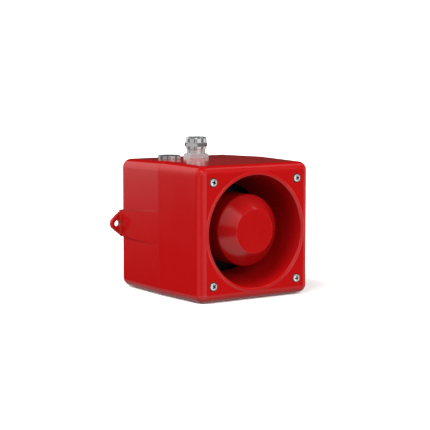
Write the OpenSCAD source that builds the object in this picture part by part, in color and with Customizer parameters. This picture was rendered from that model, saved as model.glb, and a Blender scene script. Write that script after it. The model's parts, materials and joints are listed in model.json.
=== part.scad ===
// Industrial alarm siren: two-part cast housing, folded horn, horn driver and tone circuit.
// Origin at the centre of the back face, which stands on the wall. +Y points into the wall,
// so the horn faces -Y. "Station" below means the distance forward from the wall, which is -Y.

/* [Housing] */
// Width and height of the housing at the joint between its castings
body_w = 133; // [131:0.5:137]
// Station of the flat front face
front_s = 146; // [145:0.5:150]
// Station of the joint between the castings
joint_s = 76; // [75:0.5:77]
// Wall thickness of both castings
wall = 4; // [3.5:0.1:4.2]
// Radius of the long corners at the joint
corner_r = 9.8; // [9:0.1:11]
// Radius of the rounded edges round the front face
front_r = 8.3; // [7:0.1:9]
// Radius of the rounded edges round the back face
back_r = 8.8; // [8:0.1:9.5]
// How much narrower the front face is on each side
front_draft = 1.3; // [0.8:0.1:1.6]
// How much narrower the back face is on each side
rear_draft = 1.5; // [0.8:0.1:1.7]

/* [Horn] */
// Radius of the mouth inside its rim
mouth_r = 54.4; // [54:0.1:54.8]
// Radius of the round bead that edges the mouth
bead_r = 2.1; // [1.8:0.1:2.3]
// Radius at the inner end of the outer horn wall
horn_end_r = 43.7; // [42.5:0.1:45]
// Station of the inner end of the outer horn wall
horn_end_s = 94; // [93:0.5:95]
// Radius of the bullet in the middle of the horn
bullet_r = 35.2; // [34:0.1:36]
// Radius of the flat disc at the tip of the bullet
bullet_tip_r = 21.4; // [20:0.1:22]
// How far the cone of the bullet reaches back from its tip
bullet_cone = 13; // [12:0.5:14]

/* [Fasteners] */
// Spacing of the four front screws, across and up
screw_pitch = 99; // [98:0.5:100]
// Diameter of a front screw's head
screw_head_d = 7.8; // [7.4:0.1:8.2]

/* [Wall lugs] */
// Spacing of the two wall holes
lug_pitch = 141.4; // [140:0.2:146]
// Diameter of a wall hole
lug_hole_d = 6.4; // [6:0.1:7.5]
// Thickness of a lug
lug_t = 4.6; // [3.5:0.1:5]
// Height of the lugs' middle over the housing's middle
lug_z = -0.8; // [-1.5:0.1:0]

/* [Cable entries] */
// Sideways place of the cable gland
gland_x = -7; // [-9:0.5:-5]
// Sideways place of the blanking plug
plug_x = -39; // [-40:0.5:-37]
// Station of both entries
entry_s = 53; // [51:0.5:54]
// Width across the flats of the gland's base
base_af = 22; // [21.5:0.1:23]
// Width across the flats of the gland's nut
nut_af = 21.8; // [21:0.1:22.2]
// Turn of the gland base's hexagon about its axis
gland_turn = -31; // [-60:1:0]
// Turn of the gland nut's hexagon about its axis
nut_turn = 3; // [-30:1:30]
// Diameter of the head of the blanking plug
plug_d = 22.4; // [22:0.1:24]
// Diameter of the cable hole through the seal
cable_d = 9.2; // [8.6:0.1:9.6]

/* [Hidden] */

$fn = 64;
eps = 0.01;                 // overlap that makes two shapes of one piece join
reach = 1;                  // how far a cut runs past the face that it opens

// Housing
half_joint = body_w / 2;
half_front = half_joint - front_draft;
half_back = half_joint - rear_draft;
blend_fn = 36;
post_r = 6;                 // posts that carry the front screws
post_at = screw_pitch / 2;
web_t = 4;
lip_t = 4;                  // flange that carries the gasket
lip_in = 8.1;               // width of that flange
seal_in = 2.6;              // metal left outside the gasket's groove
seal_w = 3;
seal_h = 2;
seal_play = 0.1;
screw_r = 2;                // M4
thread_play = 0.05;
screw_clear_r = 2.25;
recess_r = screw_head_d / 2 + 0.75;
recess_depth = 1.8;
head_h = 2.7;
ring_h = 0.5;               // sealing ring below a front screw's head
screw_seat_s = front_s - recess_depth + ring_h;
screw_end_s = 60;

// Side pads and lugs
pad_back = [-13.9, 12.9];    // lower and upper edge at the back
pad_joint = [-16.8, 17.6];   // the same at the joint
pad_out = half_joint - 0.05;
pad_root = half_back - wall / 2;
lug_tip_r = 6.9;
lug_root_half = 11.6;
lug_root_x = half_back - back_r;
lug_shoulder_x = half_joint + 0.8;  // where the lug's straight edges turn towards its tip

// Cable entries
seat_z = half_joint - 0.65; // flat seat cut into the top for the gland and the plug
seat_r = 14;
boss_depth = 8;
entry_r = 10;               // M20
entry_play = 0.05;
oring_r = 10.9;
oring_h = 1.4;
base_h = 4.8;
neck_r = 9.2;
neck_h = 14.5;
nut_z = 9.6;
nut_h = 12.3;
nut_crown_r = 10.7;         // round part of the nut above its hexagon
nut_crown_ease = 2.2;
nut_foot_r = 10.3;
nut_wall = 1.5;
nut_play = 0.06;
gland_bore_r = 6.5;
seal_pocket_r = 7.6;
seal_pocket_z = 5.9;
seal_r = 7.5;
seal_foot_z = 9.2;
seal_head_z = 17.7;
washer_z = 19.4;
washer_r = 8.6;
plug_h = 4.5;
plug_slot_l = 16;
plug_slot_w = 2.4;
plug_slot_depth = 1.8;

// Horn
bead_s = front_s - 1.5;     // centre of the bead
horn_wall = 3;
flare_steps = 14;
ring_r = 57.5;              // ring that joins the horn wall to the folded core
ring_t = 4;
core_screw_at = 54;
core_boss_r = 3.6;
core_boss_s = 104;
tip_s = front_s - 2;
bullet_wall = 2.5;
bullet_end_s = 80;
bullet_boss_at = 27;
bullet_boss_r = 4;
bullet_blend = 3;
floor_s = 70;
bowl_r = 49.5;
bowl_wall = 2.5;
bowl_turn_r = 9;
flange_s = 63;
flange_r = 40;
throat_r = 8;
throat_end_r = 14;
throat_end_s = 122;
throat_wall = 2;
m3_r = 1.5;
m3_head_r = 2.9;
m3_head_h = 2.2;
m3_recess_s = 66;

// Driver
driver_hole_at = 36;
driver_ring_s = 57;
gasket_s = 62;
plate_s = 52;
plate_t = 5;
plate_hole_r = 17.6;
magnet_s = 38;
magnet_r = 31;
magnet_hole_r = 20;
back_s = 33;
back_plate_r = 28;
pole_r = 15.9;
dome_r = 45;                // radius of curvature of the diaphragm's dome
dome_base_r = 17;
dome_t = 0.4;
dome_s = 61.6;
dome_edge_r = 18.6;
former_r = 16.1;
former_t = 0.3;
coil_t = 0.8;
coil_s = 52.6;
coil_h = 4.4;
surround_in = 18.65;
surround_out = 26;
roll_out = 24;
lead_r = 0.9;

// Circuit
board_s = 14;
board_t = 1.6;
board_x = 41;
board_z = 52;
board_hole_x = 36;
board_hole_z = 47;
face_s = board_s + board_t; // front of the board
standoff_r = 3.6;
terminals = 6;
terminal_pitch = 5.08;
terminal_z = 38;
terminal_d = 10;
terminal_h = 12;
well_r = 1.95;
header_x = 30;
header_z = -40;
pin_pitch = 3.96;
pin_r = 0.5;
pin_play = 0.08;
header_h = 3;
plug_body_h = 9;
switch_x = -20;
switch_z = -40;
switches = 5;
switch_pitch = 2.54;
switch_h = 5.5;
slider_travel = 2;
slider_l = 1.8;
slider_w = 1.3;
slider_play = 0.1;
trimmer_x = 4;
trimmer_z = -40;
trimmer_w = 9.5;
trimmer_h = 5;
rotor_r = 3.2;
rotor_play = 0.08;
can_r = 6.3;
can_h = 13;
earth_x = 50;
earth_boss_s = 9;

// Draws in a frame whose Z axis runs forward from the wall and whose Y axis is up.
module forward(s = 0) {
    translate([0, -s, 0]) rotate([90, 0, 0]) children();
}

module corners(at) {
    for (x = [-1, 1], y = [-1, 1]) translate([x * at, y * at, 0]) children();
}

// Turns its children about the forward axis to each of count places, at radius at.
module ring_of(count, at, first = 45) {
    for (i = [0:count - 1]) rotate(first + i * 360 / count) translate([at, 0, 0]) children();
}

module tube(outer, inner, from, to) {
    translate([0, 0, from]) difference() {
        cylinder(r = outer, h = to - from);
        translate([0, 0, -reach]) cylinder(r = inner, h = to - from + 2 * reach);
    }
}

// Block with its centre on the frame's X and Y axes, standing on height z.
module block(x, y, h, z = 0) {
    translate([-x / 2, -y / 2, z]) cube([x, y, h]);
}

function arc(cx, cy, r, from, to, steps = 8) =
    [for (i = [0:steps]) let (a = from + (to - from) * i / steps) [cx + r * cos(a), cy + r * sin(a)]];

function rounded_square(half, r) =
    [for (q = [0:3]) each arc((half - r) * (q == 0 || q == 3 ? 1 : -1),
        (half - r) * (q < 2 ? 1 : -1), r, 90 * q, 90 * (q + 1))];

// Ball whose poles and equator reach its true radius.
module ball(r) {
    rotate_extrude($fn = blend_fn) polygon(arc(0, 0, r, -90, 90, blend_fn / 2));
}

// Tapered casting with all its edges rounded, open to any inset, from the joint to one end.
module casting_block(end_s, end_half, end_r, inset = 0, overrun = 0) {
    side = end_s > joint_s ? 1 : -1;
    hull() {
        forward(joint_s - side * overrun - (side > 0 ? 0 : eps)) linear_extrude(eps)
            polygon(rounded_square(half_joint - inset, corner_r - inset));
        forward(end_s - side * end_r) corners(end_half - end_r) ball(end_r - inset);
    }
}

// Flange inside the wall, on the casting's own side of the joint.
module gasket_lip(from) {
    forward(from) linear_extrude(lip_t) difference() {
        polygon(rounded_square(half_joint - wall / 2, corner_r - wall / 2));
        polygon(rounded_square(half_joint - lip_in, corner_r - wall));
    }
}

// Posts for the front screws, each with a web that ties it to its corner.
module screw_posts(from, to) {
    start = sqrt(2) * post_at + post_r - web_t / 2;
    end = sqrt(2) * (half_joint - corner_r / 2 - wall / 2);
    forward(from) corners(post_at) cylinder(r = post_r, h = to - from);
    forward(from) for (q = [0:3]) rotate(45 + 90 * q) translate([start, -web_t / 2, 0])
        cube([end - start, web_t, to - from]);
}

// Outer horn wall's radius, from 0 at its inner end to 1 at the mouth.
function flare(t) = horn_end_r + (mouth_r - horn_end_r) * pow(t, 1.15);
flare_s = bead_s - horn_end_s;

module horn_wall_profile() {
    inner = [for (i = [0:flare_steps]) let (t = i / flare_steps) [flare(t), horn_end_s + flare_s * t]];
    outer = [for (i = [flare_steps:-1:0]) let (t = i / flare_steps)
        [flare(t) + horn_wall, horn_end_s + flare_s * t]];
    polygon(concat(inner, outer));
}

module front_housing() {
    color("firebrick") difference() {
        union() {
            difference() {
                casting_block(front_s, half_front, front_r);
                casting_block(front_s, half_front, front_r, wall, reach);
                forward(front_s - wall - reach) cylinder(r = mouth_r + bead_r, h = wall + 2 * reach);
            }
            gasket_lip(joint_s);
            screw_posts(joint_s, front_s - wall + eps);
            forward() rotate_extrude() horn_wall_profile();
            forward() rotate_extrude() translate([mouth_r + bead_r, bead_s]) circle(r = bead_r);
            forward() tube(mouth_r + 2 * bead_r, mouth_r + bead_r - eps, front_s - wall, bead_s);
            forward() tube(ring_r, horn_end_r + horn_wall / 2, horn_end_s, horn_end_s + ring_t);
            forward(horn_end_s) ring_of(4, core_screw_at)
                cylinder(r = core_boss_r, h = core_boss_s - horn_end_s);
        }
        forward(joint_s - reach) corners(post_at) cylinder(r = screw_clear_r, h = front_s);
        forward(front_s - recess_depth) corners(post_at) cylinder(r = recess_r, h = front_s);
        forward(horn_end_s - reach) ring_of(4, core_screw_at)
            cylinder(r = screw_r + thread_play, h = core_boss_s - horn_end_s);
    }
}

module side_pad(side) {
    depth = pad_out - pad_root;
    translate([side > 0 ? pad_root : -pad_out, 0, 0]) rotate([90, 0, 90]) linear_extrude(depth)
        polygon([[-joint_s, pad_joint[0]], [0, pad_back[0]], [0, pad_back[1]], [-joint_s, pad_joint[1]]]);
}

module wall_lug(side) {
    forward() translate([0, lug_z, 0]) linear_extrude(lug_t) hull() {
        translate([side * lug_pitch / 2, 0]) circle(r = lug_tip_r, $fn = 48);
        for (x = [lug_root_x, lug_shoulder_x])
            translate([side * x, -lug_root_half]) square([eps, 2 * lug_root_half]);
    }
}

module entry_cut(x) {
    translate([x, -entry_s, 0]) {
        translate([0, 0, seat_z]) cylinder(r = seat_r, h = wall);
        translate([0, 0, seat_z - oring_h]) cylinder(r = oring_r, h = wall);
        translate([0, 0, seat_z - boss_depth - reach])
            cylinder(r = entry_r + entry_play, h = boss_depth + 2 * reach);
    }
}

module rear_housing() {
    color("firebrick") difference() {
        union() {
            difference() {
                casting_block(0, half_back, back_r);
                casting_block(0, half_back, back_r, wall, reach);
            }
            gasket_lip(joint_s - lip_t);
            screw_posts(wall - eps, joint_s);
            for (side = [-1, 1]) {
                side_pad(side);
                wall_lug(side);
            }
            for (x = [gland_x, plug_x]) translate([x, -entry_s, seat_z - boss_depth])
                cylinder(r = seat_r, h = boss_depth);
            forward(wall - eps) for (x = [-1, 1], z = [-1, 1])
                translate([x * board_hole_x, z * board_hole_z, 0])
                    cylinder(r = standoff_r, h = board_s - wall + eps);
            forward(wall - eps) translate([earth_x, 0, 0])
                cylinder(r = post_r, h = earth_boss_s - wall + eps);
        }
        forward(joint_s - seal_h) linear_extrude(seal_h + reach) difference() {
            polygon(rounded_square(half_joint - seal_in, corner_r - seal_in));
            polygon(rounded_square(half_joint - seal_in - seal_w, corner_r - seal_in - seal_w));
        }
        forward(screw_end_s - wall) corners(post_at)
            cylinder(r = screw_r + thread_play, h = joint_s);
        for (x = [gland_x, plug_x]) entry_cut(x);
        forward(-reach) for (side = [-1, 1]) translate([side * lug_pitch / 2, lug_z, 0])
            cylinder(d = lug_hole_d, h = lug_t + 2 * reach);
        forward(wall + 2) for (x = [-1, 1], z = [-1, 1])
            translate([x * board_hole_x, z * board_hole_z, 0])
                cylinder(r = m3_r + thread_play, h = board_s);
        forward(wall) translate([earth_x, 0, 0])
            cylinder(r = screw_r + thread_play, h = earth_boss_s);
    }
}

module housing_gasket() {
    outside = half_joint - seal_in - seal_play;
    inside = half_joint - seal_in - seal_w + seal_play;
    color("dimgray") forward(joint_s - seal_h) linear_extrude(seal_h) difference() {
        polygon(rounded_square(outside, corner_r - seal_in - seal_play));
        polygon(rounded_square(inside, corner_r - seal_in - seal_w + seal_play));
    }
}

// Cross recess of a screw head, cut down from height top.
module cross_recess(r, depth, top) {
    arm = r * 0.34;
    for (turn = [0, 90]) rotate(turn) block(2 * r * 0.6, arm, depth + reach, top - depth);
}

// Pan-head screw standing on height 0, with its shank below.
module pan_screw(r, head_r, head, length) {
    edge = head * 0.45;
    difference() {
        union() {
            translate([0, 0, -length]) cylinder(r = r, h = length + eps);
            rotate_extrude() polygon(concat([[0, 0], [head_r, 0]],
                arc(head_r - edge, head - edge, edge, 0, 90, 5), [[0, head]]));
        }
        cross_recess(head_r, head * 0.6, head);
    }
}

module front_screws() {
    color("silver") forward(screw_seat_s) corners(post_at)
        pan_screw(screw_r, screw_head_d / 2, head_h, screw_seat_s - screw_end_s);
}

module screw_seals() {
    color("black") forward() corners(post_at)
        tube(recess_r - 0.2, screw_clear_r, screw_seat_s - ring_h, screw_seat_s);
}

// Bullet: flat tip, cone and cylinder as one cup, open at the back.
module bullet_solid(inset) {
    r = bullet_r - inset;
    tip = bullet_tip_r - inset * 0.41;
    top = tip_s - inset;
    shoulder = top - bullet_cone + inset * 0.2;
    polygon([[0, bullet_end_s], [r, bullet_end_s], [r, shoulder - bullet_blend],
        [r - 0.35, shoulder - bullet_blend * 0.35], [r - 1.6, shoulder + bullet_blend * 0.45],
        [tip + 1.5, top - 1.1], [tip, top - 0.35], [tip - 1.8, top], [0, top]]);
}

module horn_bullet() {
    boss_top = tip_s - (bullet_boss_at - bullet_tip_r) - 2 * bullet_wall;
    color("red") difference() {
        union() {
            forward() rotate_extrude() difference() {
                bullet_solid(0);
                bullet_solid(bullet_wall);
                translate([0, bullet_end_s - reach]) square([bullet_r - bullet_wall, 2 * reach]);
            }
            forward(floor_s) ring_of(3, bullet_boss_at, 90) {
                cylinder(r = bullet_boss_r, h = boss_top - floor_s);
                translate([0, -bullet_wall / 2, bullet_end_s - floor_s + reach])
                    cube([bullet_r - bullet_wall / 2 - bullet_boss_at, bullet_wall,
                        tip_s - bullet_cone - bullet_end_s - 2 * bullet_blend]);
            }
        }
        forward(floor_s - reach) ring_of(3, bullet_boss_at, 90)
            cylinder(r = m3_r + thread_play, h = 12 + reach);
    }
}

module bowl_profile() {
    turn = bowl_r - bowl_turn_r - bowl_wall;
    polygon(concat([[0, flange_s]], [[flange_r, flange_s]], [[flange_r, floor_s - bowl_wall]],
        arc(turn, floor_s + bowl_turn_r, bowl_turn_r + bowl_wall, -90, 0),
        [[bowl_r, horn_end_s], [bowl_r - bowl_wall, horn_end_s]],
        arc(turn, floor_s + bowl_turn_r, bowl_turn_r, 0, -90), [[0, floor_s]]));
}

module horn_core() {
    color("black") difference() {
        union() {
            forward() rotate_extrude() bowl_profile();
            forward() tube(ring_r, bowl_r - bowl_wall, horn_end_s - ring_t + reach, horn_end_s);
            forward(floor_s - eps) cylinder(r1 = throat_r + throat_wall,
                r2 = throat_end_r + throat_wall, h = throat_end_s - floor_s);
        }
        forward(flange_s - reach) cylinder(r = throat_r, h = floor_s);
        forward(floor_s - eps) cylinder(r1 = throat_r, r2 = throat_end_r,
            h = throat_end_s - floor_s + 2 * eps);
        forward(flange_s - eps) cylinder(r1 = dome_edge_r + 0.6, r2 = throat_r - eps, h = 6);
        forward(flange_s - reach) ring_of(4, driver_hole_at)
            cylinder(r = screw_r + thread_play, h = floor_s - flange_s);
        forward(flange_s - reach) ring_of(3, bullet_boss_at, 90)
            cylinder(r = m3_r + 0.2, h = floor_s);
        forward(flange_s - reach) ring_of(3, bullet_boss_at, 90)
            cylinder(r = m3_head_r + 0.3, h = m3_recess_s - flange_s + reach);
        forward(horn_end_s - 2 * ring_t) ring_of(4, core_screw_at)
            cylinder(r = screw_clear_r, h = 3 * ring_t);
    }
}

module bullet_screws() {
    color("silver") forward(m3_recess_s) ring_of(3, bullet_boss_at, 90) rotate([180, 0, 0])
        pan_screw(m3_r, m3_head_r, m3_head_h, 14);
}

module core_screws() {
    color("silver") forward(horn_end_s - ring_t + reach) ring_of(4, core_screw_at)
        rotate([180, 0, 0]) pan_screw(screw_r, 3.3, 2.4, 10);
}

module driver_screws() {
    color("silver") forward(plate_s) ring_of(4, driver_hole_at) rotate([180, 0, 0])
        pan_screw(screw_r, 3.6, 2.6, 16);
}

// Flat ring of the driver, with the four holes that its screws pass through.
module driver_disc(outer, inner, from, to) {
    difference() {
        forward() tube(outer, inner, from, to);
        forward(from - reach) ring_of(4, driver_hole_at) cylinder(r = screw_clear_r, h = 20);
    }
}

module driver_gasket() {
    color("dimgray") driver_disc(flange_r, roll_out, gasket_s, flange_s);
}

module lead_tabs(pad) {
    for (side = [-1, 1]) forward() rotate(atan2(header_z, header_x) + side * 5)
        translate([flange_r - reach, -1.5 - pad, driver_ring_s + 1.5 - pad])
            cube([7, 3 + 2 * pad, 1 + 2 * pad]);
}

module diaphragm_ring() {
    color("darkslategray") {
        difference() {
            driver_disc(flange_r, roll_out + 0.3, driver_ring_s, gasket_s);
            forward() tube(surround_out + 0.05, 0.1, dome_s, gasket_s + reach);
        }
        lead_tabs(0);
    }
}

module surround() {
    mid = (surround_in + roll_out) / 2;
    roll = (roll_out - surround_in) / 2;
    color("tan") forward() rotate_extrude() polygon(concat(
        [[surround_in, dome_s + dome_t]],
        arc(mid, dome_s, roll, 180, 360),
        [[surround_out, dome_s], [surround_out, dome_s + dome_t]],
        arc(mid, dome_s + dome_t, roll - dome_t, 360, 180)));
}

function dome(r, lift) = dome_s + lift + sqrt(dome_r * dome_r - r * r)
    - sqrt(dome_r * dome_r - dome_base_r * dome_base_r);

module diaphragm() {
    steps = 10;
    over = [for (i = [0:steps]) let (r = dome_base_r * i / steps) [r, dome(r, dome_t)]];
    under = [for (i = [steps:-1:0]) let (r = dome_base_r * i / steps) [r, dome(r, 0)]];
    color("gainsboro") forward() {
        rotate_extrude() polygon(concat(over,
            [[dome_edge_r, dome_s + dome_t], [dome_edge_r, dome_s]], under));
        tube(former_r + former_t, former_r, coil_s, dome_s + dome_t);
    }
}

module voice_coil() {
    inside = former_r + former_t;
    color("chocolate") forward() tube(inside + coil_t, inside, coil_s, coil_s + coil_h);
}

module top_plate() {
    color("lightsteelblue") driver_disc(flange_r, plate_hole_r, plate_s, plate_s + plate_t);
}

module magnet() {
    color("dimgray") forward() tube(magnet_r, magnet_hole_r, magnet_s, plate_s);
}

module back_plate() {
    color("lightsteelblue") forward(back_s) {
        cylinder(r = back_plate_r, h = magnet_s - back_s);
        cylinder(r = pole_r, h = plate_s + plate_t - back_s);
    }
}

// Round wire between two points.
module wire(a, b, r) {
    d = b - a;
    length = norm(d);
    translate(a) rotate([0, acos(d.z / length), atan2(d.y, d.x)]) cylinder(r = r, h = length);
    translate(b) sphere(r = 1.15 * r);
}

module driver_lead() {
    top = face_s + header_h + plug_body_h;
    color("maroon") forward() for (side = [-1, 1]) {
        angle = atan2(header_z, header_x) + side * 5;
        tab = [(flange_r + 4) * cos(angle), (flange_r + 4) * sin(angle), driver_ring_s + 1.5];
        knee = [tab.x, tab.y, top + 15];
        foot = [header_x + side * pin_pitch / 2, header_z, top + 6];
        wire(tab, knee, lead_r);
        wire(knee, foot, lead_r);
        wire(foot, [foot.x, foot.y, top + 1.2 * lead_r], lead_r);
        translate([foot.x, foot.y, top]) cylinder(r = lead_r, h = 2);
    }
}

// Draws in a frame that stands on the front of the board.
module on_board(x, z) {
    forward(face_s) translate([x, z, 0]) children();
}

module driver_plug() {
    color("ivory") on_board(header_x, header_z) difference() {
        block(10, 6, plug_body_h, header_h);
        for (side = [-1, 1]) translate([side * pin_pitch / 2, 0, header_h - reach])
            cylinder(r = pin_r + pin_play, h = plug_body_h - 1);
        translate([0, -3.5, header_h + 5]) block(4, 2, 3);
    }
}

module board_header() {
    color("white") on_board(header_x, header_z) {
        difference() {
            block(11, 7, header_h);
            translate([0, 2.5, 1]) block(5, 3, header_h);
        }
        for (side = [-1, 1]) translate([side * pin_pitch / 2, 0, header_h - eps])
            cylinder(r = pin_r, h = 6);
    }
}

module circuit_board() {
    color("darkgreen") difference() {
        forward(board_s) block(2 * board_x, 2 * board_z, board_t);
        forward(board_s - reach) for (x = [-1, 1], z = [-1, 1])
            translate([x * board_hole_x, z * board_hole_z, 0])
                cylinder(r = m3_r + 0.2, h = board_t + 2 * reach);
    }
}

module board_screws() {
    color("silver") forward(face_s) for (x = [-1, 1], z = [-1, 1])
        translate([x * board_hole_x, z * board_hole_z, 0])
            pan_screw(m3_r, m3_head_r, m3_head_h, 8);
}

module along_terminals() {
    first = -(terminals - 1) / 2 * terminal_pitch;
    for (i = [0:terminals - 1]) translate([first + i * terminal_pitch, 0, 0]) children();
}

module terminal_block() {
    color("seagreen") on_board(0, terminal_z) difference() {
        block(terminals * terminal_pitch + 0.6, terminal_d, terminal_h);
        along_terminals() translate([0, -0.5, terminal_h - 5]) cylinder(r = well_r, h = 6);
        along_terminals() translate([0, terminal_d / 2 - 3, 0]) block(3.4, 8, 4, 1.6);
        translate([0, terminal_d / 2, terminal_h]) rotate([45, 0, 0])
            block(terminals * terminal_pitch + 2, 2, 2, -1);
    }
}

module terminal_screws() {
    color("silver") on_board(0, terminal_z) along_terminals()
        translate([0, -0.5, terminal_h - 5]) difference() {
            cylinder(r = well_r - 0.15, h = 3);
            block(5, 0.6, 2, 1.8);
        }
}

module tone_switch() {
    slot = slider_travel + slider_l + 2 * slider_play;
    color("firebrick") on_board(switch_x, switch_z) difference() {
        block(switches * switch_pitch + 1.6, 9.8, switch_h);
        for (i = [0:switches - 1]) translate([(i - (switches - 1) / 2) * switch_pitch, 0, 0])
            block(slider_w + 2 * slider_play, slot, 3, switch_h - 1.6);
    }
}

// One slider of the tone switch, resting at the lower end of its slot.
module tone_slider(i) {
    color("white") on_board(switch_x, switch_z)
        translate([(i - 1 - (switches - 1) / 2) * switch_pitch, -slider_travel / 2, 0]) {
            block(slider_w, slider_l, 1.6 - slider_play, switch_h - 1.6 + slider_play);
            block(slider_w * 0.8, slider_l * 0.6, 0.7 + eps, switch_h - eps);
        }
}

module volume_trimmer() {
    color("royalblue") on_board(trimmer_x, trimmer_z) difference() {
        block(trimmer_w, trimmer_w, trimmer_h);
        translate([0, 0, trimmer_h - 2]) cylinder(r = rotor_r + rotor_play, h = 3);
        translate([trimmer_w / 2, -trimmer_w / 2, 0]) rotate(45) block(2.4, 2.4, 20, -reach);
    }
}

module volume_rotor() {
    color("white") on_board(trimmer_x, trimmer_z) difference() {
        translate([0, 0, trimmer_h - 2 + 0.05]) cylinder(r = rotor_r, h = 2.2);
        cross_recess(rotor_r, 1.1, trimmer_h + 0.25);
        translate([0, rotor_r * 0.7, trimmer_h]) block(0.7, 1.4, 1);
    }
}

module capacitors() {
    color("midnightblue") for (z = [6, 22]) on_board(-28, z) difference() {
        union() {
            cylinder(r = can_r - 0.4, h = 1 + eps);
            translate([0, 0, 1]) tube(can_r, 0.1, 0, 1.2);
            translate([0, 0, 2.2 - eps]) cylinder(r = can_r - 0.35, h = 0.8 + 2 * eps);
            translate([0, 0, 3]) cylinder(r = can_r, h = can_h - 3.6);
            translate([0, 0, can_h - 0.6 - eps]) cylinder(r1 = can_r, r2 = can_r - 0.6, h = 0.6);
            cylinder(r = 0.4, h = 2);
        }
        for (turn = [0, 60, 120]) rotate(turn) block(7, 0.4, 1, can_h - 0.35);
    }
}

module transformer_core() {
    color("dimgray") on_board(26, 14) difference() {
        block(20, 6, 15.4, 1.5);
        for (side = [-1, 1]) translate([side * 5.5, 0, 0]) block(5, 8, 11, 4.5);
    }
}

// Bobbin and winding round the middle leg of the core.
module transformer_coil() {
    color("goldenrod") on_board(26, 14) difference() {
        union() {
            block(15.4, 15, 10.6, 4.7);
            for (y = [-6.5, 6.5]) translate([0, y, 0]) block(15.4, 2, 4.71);
        }
        block(6.2, 6.2, 12, 4);
        for (side = [-1, 1]) translate([side * 9, 0, 0]) block(2.2, 6.2, 12, 4);
        block(22, 6.2, 3.3, 1.4);
    }
}

module chip(length, width, legs) {
    block(length, width, 3.2, 0.9);
    for (i = [0:legs - 1], side = [-1, 1])
        translate([(i - (legs - 1) / 2) * 2.54, side * (width / 2 + 0.35), 0]) block(0.7, 0.9, 2.6);
}

module circuit_chips() {
    color("black") {
        on_board(-8, -20) chip(19.3, 6.4, 7);
        on_board(18, -20) chip(9.6, 6.4, 4);
    }
}

module output_transistors() {
    color("black") for (x = [-9, 5]) on_board(x, 4) {
        block(10, 9, 4.4, 0.05);
        translate([0, 7, 0]) difference() {
            block(10, 7, 1.3, 0.05);
            translate([0, 0.8, -reach]) cylinder(r = 1.9, h = 4);
        }
        for (leg = [-2.54, 0, 2.54]) translate([leg, -6, 0]) block(0.8, 4.5, 1, 0.05);
    }
}

module earth_screw() {
    color("gold") forward(earth_boss_s) translate([earth_x, 0, 0]) {
        tube(5, screw_r - eps, 0, 0.8);
        translate([0, 0, 0.8 - eps]) pan_screw(screw_r, 3.8, 2.6, 5);
    }
}

// Draws at the seat of a cable entry, with Z up.
module at_entry(x) {
    translate([x, -entry_s, seat_z]) children();
}

// Hexagonal prism with its upper and lower corners turned off.
module eased_hex(af, h, top_r, bottom_r) {
    r = af / sqrt(3);
    drop = (r - top_r) * 0.6;
    rise = (r - bottom_r) * 0.6;
    intersection() {
        rotate(gland_turn) cylinder(r = r, h = h, $fn = 6);
        rotate_extrude() polygon([[0, 0], [bottom_r, 0], [r + eps, rise], [r + eps, h - drop],
            [top_r, h], [0, h]]);
    }
}
module gland_body() {
    color("silver") at_entry(gland_x) difference() {
        union() {
            translate([0, 0, -boss_depth]) cylinder(r = entry_r, h = boss_depth + eps);
            eased_hex(base_af, base_h, base_af / 2 + 0.3, base_af / sqrt(3));
            cylinder(r = neck_r, h = neck_h);
        }
        translate([0, 0, -boss_depth - reach]) cylinder(r = gland_bore_r, h = neck_h + 2 * boss_depth);
        translate([0, 0, seal_pocket_z]) cylinder(r = seal_pocket_r, h = neck_h);
    }
}

module entry_oring(x) {
    color("black") at_entry(x) tube(oring_r - 0.1, entry_r + entry_play, -oring_h, 0);
}

module gland_oring() {
    entry_oring(gland_x);
}

module gland_seal() {
    color("black") at_entry(gland_x) difference() {
        union() {
            translate([0, 0, seal_foot_z]) cylinder(r = seal_r, h = washer_z - seal_foot_z);
            translate([0, 0, seal_head_z]) cylinder(r = washer_r, h = washer_z - seal_head_z);
        }
        cylinder(d = cable_d, h = 2 * washer_z);
    }
}

module gland_washer() {
    color("white") at_entry(gland_x)
        tube(washer_r, cable_d / 2 + 0.6, washer_z, nut_z + nut_h - nut_wall);
}

// Domed cap nut: a hexagon whose upper half is turned down to a crown.
module gland_nut() {
    corner = nut_af / sqrt(3);
    color("silver") at_entry(gland_x) translate([0, 0, nut_z]) difference() {
        intersection() {
            rotate(nut_turn) cylinder(r = corner + eps, h = nut_h, $fn = 6);
            rotate_extrude() polygon(concat(
                [[0, 0], [nut_foot_r, 0], [nut_crown_r, 1.9], [corner, 3], [corner, 5], [nut_crown_r, 6.4]],
                arc(nut_crown_r - nut_crown_ease, nut_h - nut_crown_ease, nut_crown_ease, 0, 90, 6),
                [[0, nut_h]]));
        }
        translate([0, 0, -reach]) cylinder(r = neck_r + nut_play, h = nut_h - nut_wall + reach);
        cylinder(r = gland_bore_r, h = nut_h + reach);
    }
}

module blanking_plug() {
    ease = 0.6;
    color("silver") at_entry(plug_x) difference() {
        union() {
            translate([0, 0, -boss_depth]) cylinder(r = entry_r, h = boss_depth + eps);
            cylinder(d = plug_d, h = plug_h - ease);
            translate([0, 0, plug_h - ease - eps])
                cylinder(r1 = plug_d / 2, r2 = plug_d / 2 - ease, h = ease);
        }
        block(plug_slot_l, plug_slot_w, plug_slot_depth + reach, plug_h - plug_slot_depth);
        translate([0, 0, -boss_depth - reach]) cylinder(r = 7.5, h = boss_depth);
    }
}

module plug_oring() {
    entry_oring(plug_x);
}

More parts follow.
